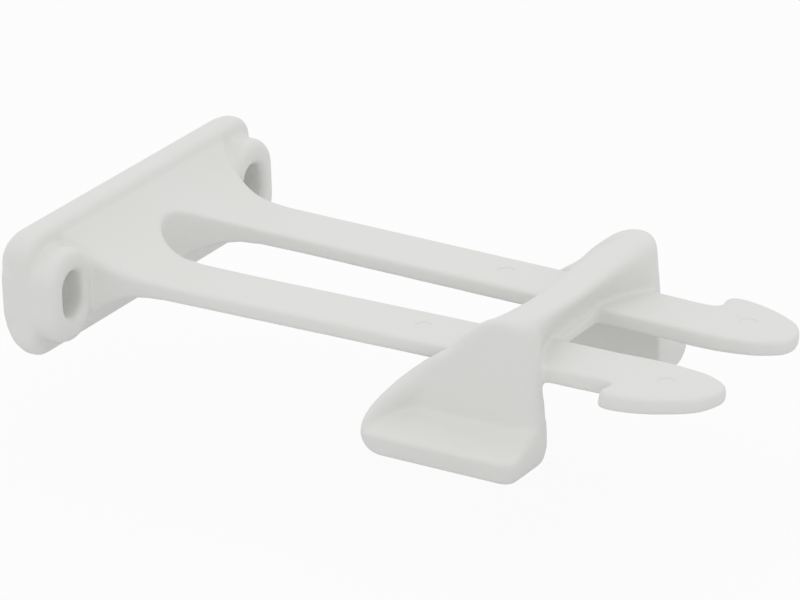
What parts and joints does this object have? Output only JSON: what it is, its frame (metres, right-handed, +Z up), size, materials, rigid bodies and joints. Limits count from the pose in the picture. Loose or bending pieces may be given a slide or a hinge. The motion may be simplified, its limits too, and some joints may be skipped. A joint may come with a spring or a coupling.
{
  "type": "cabinet safety lock",
  "caption": "Spring latch for a cupboard door: mounting base with screw slots, two flexing arms, a thumb bridge with finger scoops and hooked prongs.",
  "frame": {"origin": "centre of the mounting base's back face, which lies against the door", "axes": "+X from the door towards the prongs, +Y across the latch, +Z up, on the side that the thumb presses"},
  "size_m": [0.1024, 0.0538, 0.0223],
  "materials": {
    "moulded_plastic": "near-white injection-moulded plastic with a soft satin sheen"
  },
  "bodies": {
    "root": {"mounting_base": "moulded_plastic", "near_spring_arm": "moulded_plastic", "far_spring_arm": "moulded_plastic"},
    "latch_head": {"thumb_bridge": "moulded_plastic", "near_finger_scoop": "moulded_plastic", "far_finger_scoop": "moulded_plastic", "near_prong": "moulded_plastic", "far_prong": "moulded_plastic"}
  },
  "joints": [
    {"name": "arm_flex", "type": "hinge", "parent": "root", "child": "latch_head", "pos_m": [0.032, 0, 0], "axis": [0, 1, 0], "range_deg": [-5, 12], "stiffness_Nm_per_rad": 0.75, "deforming": ["near_spring_arm", "far_spring_arm"]}
  ]
}
